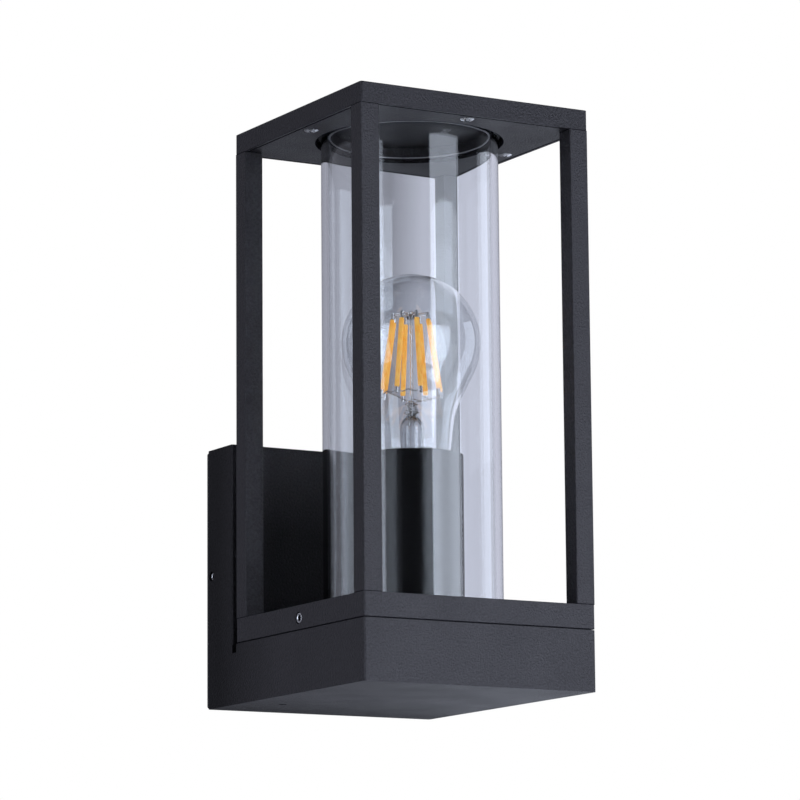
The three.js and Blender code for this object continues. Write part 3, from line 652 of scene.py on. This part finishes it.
# Stem: a flared tube, a pinched end with the wires in it, and a thin rod with a bead.
stem_low, stem_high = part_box("bulb_stem")
STEM_FOOT, STEM_TOP = stem_low.z / MM, stem_high.z / MM
SHOULDER = 68.6  # where the stem's tube closes to its pinch
PINCH_TOP = 76
ROD = 0.85  # radius of the rod above the pinch
STEM_OUTLINE = [  # (radius, height), down the tube's inside, round its flare and up its outside
    (POLE, SHOULDER - 0.2),
    (2.4, SHOULDER - 0.9),
    (4.1, SHOULDER - 2.5),
    (4.9, SHOULDER - 5),
    (5.0, SHOULDER - 11),
    (5.0, 46),
    (6.6, 41.5),
    (9, STEM_FOOT),
    (9.8, STEM_FOOT),
    (7, 42),
    (5.4, 46.5),
    (5.4, SHOULDER - 11),
    (5.3, SHOULDER - 4.6),
    (4.4, SHOULDER - 1.8),
    (2.6, SHOULDER + 0.2),
    (1.8, SHOULDER + 2.5),
    (1.7, PINCH_TOP - 1.8),
    (1.1, PINCH_TOP),
    (ROD, PINCH_TOP + 1.5),
    (ROD, STEM_TOP - 5),
    (1.9, STEM_TOP - 3.6),
    (2.1, STEM_TOP - 2.2),
    (1.6, STEM_TOP - 0.7),
    (POLE, STEM_TOP),
]
stem = lathe(
    "stem_tube",
    [(p.x, p.z) for p in smooth_path([(r, 0, z) for r, z in STEM_OUTLINE], 4)],
    STEM_GLASS,
    "bulb",
    segments=48,
    closed=False,
    smooth_angle=80,
)
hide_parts("bulb_stem")

FILAMENTS = 8
FILAMENT_PHASE = math.radians(31.7)
FILAMENT_RADIUS = 1.15
FILAMENT_FLATNESS = 0.85  # thickness over width
FILAMENT_FOOT = (14.1, 80.7)  # radius and height of the filaments' lower ends
FILAMENT_HEAD = (8.9, 114.2)
TAB = 2.6  # length of the metal tab at each end of a filament
HEAD_TAB, FOOT_TAB = 0.8, 0.65  # radii of the tabs
SPIDER_WIRE, LEAD_WIRE = 0.3, 0.27


def filament_line(i):
    """Angle about the axis, foot, head and direction of a filament."""
    angle = FILAMENT_PHASE + i * 2 * math.pi / FILAMENTS
    foot = Vector(around(angle, *FILAMENT_FOOT))
    head = Vector(around(angle, *FILAMENT_HEAD))
    return angle, foot, head, (head - foot).normalized()


def squared(value):
    """Draws a circle's coordinate out towards a square's, for a bar with soft corners."""
    return math.copysign(abs(value) ** 0.8, value)


def filament(i):
    """A phosphor bar with round ends."""
    angle, foot, head, along = filament_line(i)
    sides = 16
    out = Vector((math.cos(angle), math.sin(angle), 0))
    side = along.cross(out).normalized()
    out = side.cross(along)
    length = (head - foot).length
    ends = [(0.2, 0.55), (0.5, 0.9), (1.1, 1.0)]
    stations = [
        *ends,
        *[(length * k / 12, 1.0) for k in range(1, 12)],
        *[(length - distance, scale) for distance, scale in reversed(ends)],
    ]
    vertices = []
    for distance, scale in stations:
        for k in range(sides):
            a = 2 * math.pi * k / sides
            wide = FILAMENT_RADIUS * scale * squared(math.cos(a))
            deep = FILAMENT_FLATNESS * FILAMENT_RADIUS * scale * squared(math.sin(a))
            vertices.append(foot + along * distance + side * wide + out * deep)
    faces = []
    for j in range(len(stations) - 1):
        faces += band(j * sides, (j + 1) * sides, sides)
    last = (len(stations) - 1) * sides
    faces += [tuple(range(sides)), tuple(range(last, last + sides))]
    piece = new_piece(f"led_bar_{i + 1}", vertices, faces, PHOSPHOR, "bulb", 60)
    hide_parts(f"filament_{i + 1}")


for i in range(FILAMENTS):
    filament(i)

# Spider: a tab out of the top of each filament, a wire from there to a ring round the bead, and a
# support wire down the rod.
HUB = (2.3, STEM_TOP - 2.0)  # radius and height
legs, head_tabs = [], []
for i in range(FILAMENTS):
    angle, foot, head, along = filament_line(i)
    tip = head + along * TAB
    ring = Vector(around(angle, *HUB))
    bend = (tip + ring) / 2 + Vector((0, 0, 0.3))
    legs.append(smooth_path([tip, bend, ring], 5))
    head_tabs.append([head - along * 0.5, head + along, tip + Vector((0, 0, 0.3))])
hub_ring = [around(2 * math.pi * k / 24, *HUB) for k in range(25)]
support = [around(0, 0.01, STEM_TOP - 1.5), around(0, 0.01, SHOULDER - 1)]
wire("top_spider", "top_bridge", [*legs, hub_ring, support], SPIDER_WIRE, head_tabs, HEAD_TAB)

LEAD_RING = (FILAMENT_FOOT[0] + 0.3, FILAMENT_FOOT[1] - 1.7)  # radius and height


def lead_in(name, node_name, middle):
    """A wire out of the pinch and round under half of the filaments, with a tab up to each.

    A second wire is crimped round it in an uneven coil.
    """
    half = (FILAMENTS / 2 - 1) * math.pi / FILAMENTS
    steps = 24
    reach = []
    for k in range(steps + 1):
        turn = middle + half * (1 - 2 * k / steps)
        ripple = 0.5 * math.cos(2 * math.pi * k / 4)
        reach.append(around(turn, LEAD_RING[0], LEAD_RING[1] + ripple))
    rise = [
        around(middle, 1.3, SHOULDER - 4),
        around(middle, 1.5, SHOULDER + 1),
        around(middle, 2.6, PINCH_TOP - 3.5),
        around(middle, 2.2, PINCH_TOP - 0.5),
        around(middle, 5.5, PINCH_TOP + 0.7),
        around(middle, *LEAD_RING),
    ]
    crimp = []
    for k in range(16):
        turn = middle + 1.2 * math.sin(k * 1.9)
        crimp.append(around(turn, 2.7 + 0.6 * math.cos(k * 2.3), SHOULDER + 1 + k * 0.4))
    tabs = []
    for i in range(FILAMENTS):
        angle, foot, head, along = filament_line(i)
        if math.cos(angle - middle) > 0:
            tabs.append([foot - along * TAB, foot - along * 1.2, foot + along * 0.5])
    paths = [smooth_path(rise, 6), smooth_path(crimp, 3), reach]
    wire(name, node_name, paths, LEAD_WIRE, tabs, FOOT_TAB)


LEAD_MIDDLE = FILAMENT_PHASE - math.pi / FILAMENTS
lead_in("lead_wire_left", "lead_in_left", LEAD_MIDDLE + math.pi)
lead_in("lead_wire_right", "lead_in_right", LEAD_MIDDLE)


# ---- Screws -------------------------------------------------------------------------------------

SCREW_SHARP = 35  # degrees; edges sharper than this stay edges


def lathe_shape(profile, segments):
    """Vertices and faces of a (radius, height) profile turned about Z, its ends on the axis."""
    vertices, faces = [(0, 0, profile[0][1])], []
    rows = profile[1:-1]
    for radius, height in rows:
        for i in range(segments):
            a = 2 * math.pi * i / segments
            vertices.append((radius * math.cos(a), radius * math.sin(a), height))
    vertices.append((0, 0, profile[-1][1]))
    top = len(vertices) - 1
    for i in range(segments):
        k = (i + 1) % segments
        faces.append((0, 1 + k, 1 + i))
        for j in range(len(rows) - 1):
            a, b = 1 + j * segments, 1 + (j + 1) * segments
            faces.append((a + i, a + k, b + k, b + i))
        last = 1 + (len(rows) - 1) * segments
        faces.append((last + i, last + k, top))
    return vertices, faces


def wedge_shape(half_length, half_width, low, high, draft):
    """A block from z low to high whose top is narrower than its foot by the draft on each side."""
    vertices = []
    for z, inset in ((low, 0), (high, draft)):
        x, y = half_length - inset, half_width - 0.3 * inset
        vertices += [(-x, -y, z), (x, -y, z), (x, y, z), (-x, y, z)]
    sides = [(i, (i + 1) % 4, 4 + (i + 1) % 4, 4 + i) for i in range(4)]
    return vertices, [(3, 2, 1, 0), (4, 5, 6, 7), *sides]


def scratch_object(shape, turn=0):
    """An object to carve or to carve with; it is removed afterwards."""
    vertices, faces = shape
    mesh = bpy.data.meshes.new("scratch")
    mesh.from_pydata([MM * Vector(v) for v in vertices], [], faces)
    made = bpy.data.objects.new("scratch", mesh)
    made.rotation_euler.z = turn
    bpy.context.scene.collection.objects.link(made)
    return made


def carved(shape, cutters, is_recess):
    """Mesh of a shape with the cutters taken out of it, and the faces in its recess marked."""
    base = scratch_object(shape)
    for cutter in cutters:
        boolean = base.modifiers.new("cut", "BOOLEAN")
        boolean.object = cutter
        boolean.solver = "EXACT"
    bpy.context.view_layer.update()
    result = bpy.data.meshes.new_from_object(
        base.evaluated_get(bpy.context.evaluated_depsgraph_get())
    )
    for used in (base, *cutters):
        bpy.data.objects.remove(used)
    for face in result.polygons:
        x, y, z = face.center / MM
        face.material_index = int(is_recess(math.hypot(x, y), z))
    return result


def screw_piece(name, mesh, matrix, body, node_name):
    """A stainless screw at a place, from a carved mesh."""
    mesh = mesh.copy()
    mesh.transform(matrix)
    # The second material is the painted shade in the recess.
    for surface in (STEEL, SHADED_RECESS_METAL):
        mesh.materials.append(surface)
    mesh.shade_smooth()
    mesh.set_sharp_from_angle(angle=math.radians(SCREW_SHARP))
    piece = bpy.data.objects.new(name, mesh)
    bpy.context.scene.collection.objects.link(piece)
    round_edges(piece, 0.08, 2, SCREW_SHARP)
    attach(piece, body)
    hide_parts(node_name)


def cross_recess_mesh():
    """Raised countersunk screw, its head at z 0 and below, its shank up."""
    head, shank, tip = 3.35, 2.0, 1.4  # radii
    crown, length = 0.9, 7.5
    dome = (head * head + crown * crown) / (2 * crown)

    def crown_height(radius):
        return dome - crown - math.sqrt(dome * dome - radius * radius)

    def is_recess(radius, height):
        return radius < 2.1 and crown_height(radius) + 0.06 < height < 1.2

    profile = [(0, -crown)]
    profile += [(head * k / 8, crown_height(head * k / 8)) for k in range(1, 9)]
    profile += [(head, 0.12), (shank, 1.6), (shank, 6.8), (tip, length), (0, length)]
    slot = wedge_shape(2.05, 0.42, -1.2, 1.0, 1.0)
    core = wedge_shape(0.85, 0.85, -1.2, 1.1, 0.4)
    cutters = [scratch_object(slot, turn) for turn in (0, math.pi / 2)]
    cutters.append(scratch_object(core, math.pi / 4))
    return carved(lathe_shape(profile, 48), cutters, is_recess)


def set_screw_mesh(radius, length):
    """Headless screw with a hexagon socket in its outer end, at z 0, and a cone point below."""
    socket, socket_floor = 0.57 * radius, -2.4
    collar, lip = radius - socket, 0.45

    def is_recess(across, height):
        return across < 0.98 * socket and height > socket_floor - 0.1

    crown = [
        (socket + collar * (1 - math.cos(a)) / 2, lip * math.sin(a) - lip)
        for a in (math.pi * k / 8 for k in range(1, 9))
    ]
    profile = [(0, -length), (radius - 1, -length), (radius, -length + 1)]
    profile += [*reversed(crown), (0, -lip)]
    hexagon = lathe_shape(
        [(0, socket_floor), (socket * 0.9, socket_floor), (socket * 1.04, 1), (0, 1)], 6
    )
    return carved(lathe_shape(profile, 48), [scratch_object(hexagon, math.pi / 6)], is_recess)


roof_screw = cross_recess_mesh()
for k, place in enumerate(("front", "rear", "left", "right")):
    node_name = f"roof_screw_{place}"
    low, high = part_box(node_name)
    head = (low + high) / 2
    head.z = PLATE_LOW.z
    turn = 0.4 + 0.9 * k  # each screw ends up at another angle
    spot = Matrix.Translation(head) @ Matrix.Rotation(turn, 4, "Z")
    screw_piece(f"recess_screw_{place}", roof_screw, spot, "cage", node_name)

CAGE_SCREW = set_screw_mesh(radius=2.5, length=10)
BODY_SCREW = set_screw_mesh(radius=2.0, length=8)
for kind, mesh in (("cage", CAGE_SCREW), ("body", BODY_SCREW)):
    for side, sign in (("left", -1), ("right", 1)):
        node_name = f"{kind}_screw_{side}"
        low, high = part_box(node_name)
        end = (low + high) / 2
        end.x = high.x if sign > 0 else low.x
        spot = Matrix.Translation(end) @ Matrix.Rotation(sign * math.pi / 2, 4, "Y")
        body = node_name if kind == "cage" else "housing"
        screw_piece(f"{kind}_set_screw_{side}", mesh, spot, body, node_name)


# ---- Studio -------------------------------------------------------------------------------------

scene = bpy.context.scene
scene.view_settings.view_transform = "Standard"

LAVENDER = (0.95, 0.97, 1.15)
STUDIO_BLUE = (0.86, 0.94, 1.1)
FLOOR_LEVEL = -0.9
FLOOR_HALF = 8
FLOOR_GLOW = 0.42

# The world is white to the camera and a lavender grey through the glass, as a studio's backdrop is
# once the picture's background is cleared. It lights the lantern only dimly, most from the back.
world = bpy.data.worlds.new("studio")
scene.world = world
world.use_nodes = True
tree = world.node_tree
tree.nodes.remove(tree.nodes["Background"])
direction = coordinates(tree, "Generated")
rays, unreflected = light_path(tree)


def backdrop(axis, *stops):
    """A world colour that runs through stops of (place, grey level) along an axis of direction."""
    first, last = stops[0][0], stops[-1][0]
    surface = node(tree, "ShaderNodeBackground")
    ramp = node(tree, "ShaderNodeValToRGB")
    elements = ramp.color_ramp.elements
    while len(elements) < len(stops):
        elements.new(0.5)
    for element, (place, level) in zip(elements, stops):
        element.position = (place - first) / (last - first)
        element.color = (*(level * c for c in LAVENDER), 1)
    tree.links.new(remap(tree, direction[axis], 0, 1, first, last), ramp.inputs["Fac"])
    tree.links.new(ramp.outputs["Color"], surface.inputs["Color"])
    return surface.outputs["Background"]


def choose(flag, otherwise, chosen):
    """One of two surfaces, by a flag that is 0 or 1."""
    made = node(tree, "ShaderNodeMixShader")
    for socket, value in zip(made.inputs, (flag, otherwise, chosen)):
        tree.links.new(value, socket)
    return made.outputs["Shader"]


fill = backdrop("Y", (-0.5, 0.02), (0.5, 0.24))
behind_glass = backdrop("X", (0.435, 0.39), (0.4776, 0.3), (0.502, 0.59), (0.56, 0.69))
white = node(tree, "ShaderNodeBackground", Color=(1, 1, 1, 1)).outputs["Background"]

# Straight through the glass means unreflected, or still on its way to the back.
onward = largest(tree, unreflected, maths(tree, "GREATER_THAN", direction["Y"], 0.2))
straight = maths(tree, "MULTIPLY", rays["Is Transmission Ray"], onward)
seen = choose(rays["Is Camera Ray"], choose(straight, fill, behind_glass), white)
tree.links.new(seen, tree.nodes["World Output"].inputs["Surface"])


def lit_panel(name, angle, distance, width, low, high, radiance):
    """An upright softbox that faces the lantern, at an angle in degrees to the camera's right.

    It shows in reflections, but isn't seen itself.
    """
    turn = math.radians(CAMERA_YAW + angle)
    height, level = high - low, (low + high) / 2
    data = bpy.data.lights.new(name, "AREA")
    data.shape = "RECTANGLE"
    data.size = width
    data.size_y = height
    data.energy = radiance * math.pi * width * height
    data.color = STUDIO_BLUE
    data.use_nodes = True
    lamp_tree = data.node_tree
    lamp_rays, straight_on = light_path(lamp_tree)
    hidden = maths(lamp_tree, "MULTIPLY", straight_on, lamp_rays["Is Transmission Ray"])
    shown = maths(lamp_tree, "SUBTRACT", 1, hidden)
    lamp_tree.links.new(shown, lamp_tree.nodes["Emission"].inputs["Strength"])
    lamp = bpy.data.objects.new(name, data)
    lamp.location = (
        MIDDLE.x + distance * math.sin(turn),
        MIDDLE.y - distance * math.cos(turn),
        level,
    )
    aim = Vector((0, MIDDLE.y, level)) - lamp.location
    lamp.rotation_euler = aim.to_track_quat("-Z", "Y").to_euler()
    lamp.visible_camera = False
    scene.collection.objects.link(lamp)


# The top of each front softbox is dimmer than the rest.
lit_panel("key", 42, 1.0, 0.69, -0.75, 0.375, 4.3)
lit_panel("key_top", 42, 1.0, 0.69, 0.375, 0.47, 3.1)
lit_panel("side", -51.5, 1.0, 0.5, -0.6, 0.375, 2.9)
lit_panel("side_top", -51.5, 1.0, 0.5, 0.375, 0.47, 2)
lit_panel("back_right", 105, 1.4, 0.8, -0.5, 0.7, 1.5)
lit_panel("bounce", 157, 1.3, 0.9, -0.88, -0.1, 0.85)

# The floor glows for rays that come straight from the camera, so that it looks pale without
# lighting the lantern.
mesh = bpy.data.meshes.new("floor")
corners = ((-1, -1), (1, -1), (1, 1), (-1, 1))
mesh.from_pydata(
    [(FLOOR_HALF * x, FLOOR_HALF * y, FLOOR_LEVEL) for x, y in corners], [], [(0, 1, 2, 3)]
)
floor = bpy.data.objects.new("floor", mesh)
scene.collection.objects.link(floor)
floor_material, floor_tree, floor_shader = new_material(
    "floor", Base_Color=(0.8, 0.8, 0.8), Emission_Color=(1, 1, 1.03)
)
floor_gloss = remap(floor_tree, noise(floor_tree, 400, 3), 0.66, 0.74)
floor_tree.links.new(floor_gloss, floor_shader.inputs["Roughness"])
floor_glow = maths(floor_tree, "MULTIPLY", light_path(floor_tree)[1], FLOOR_GLOW)
floor_tree.links.new(floor_glow, floor_shader.inputs["Emission Strength"])
mesh.materials.append(floor_material)
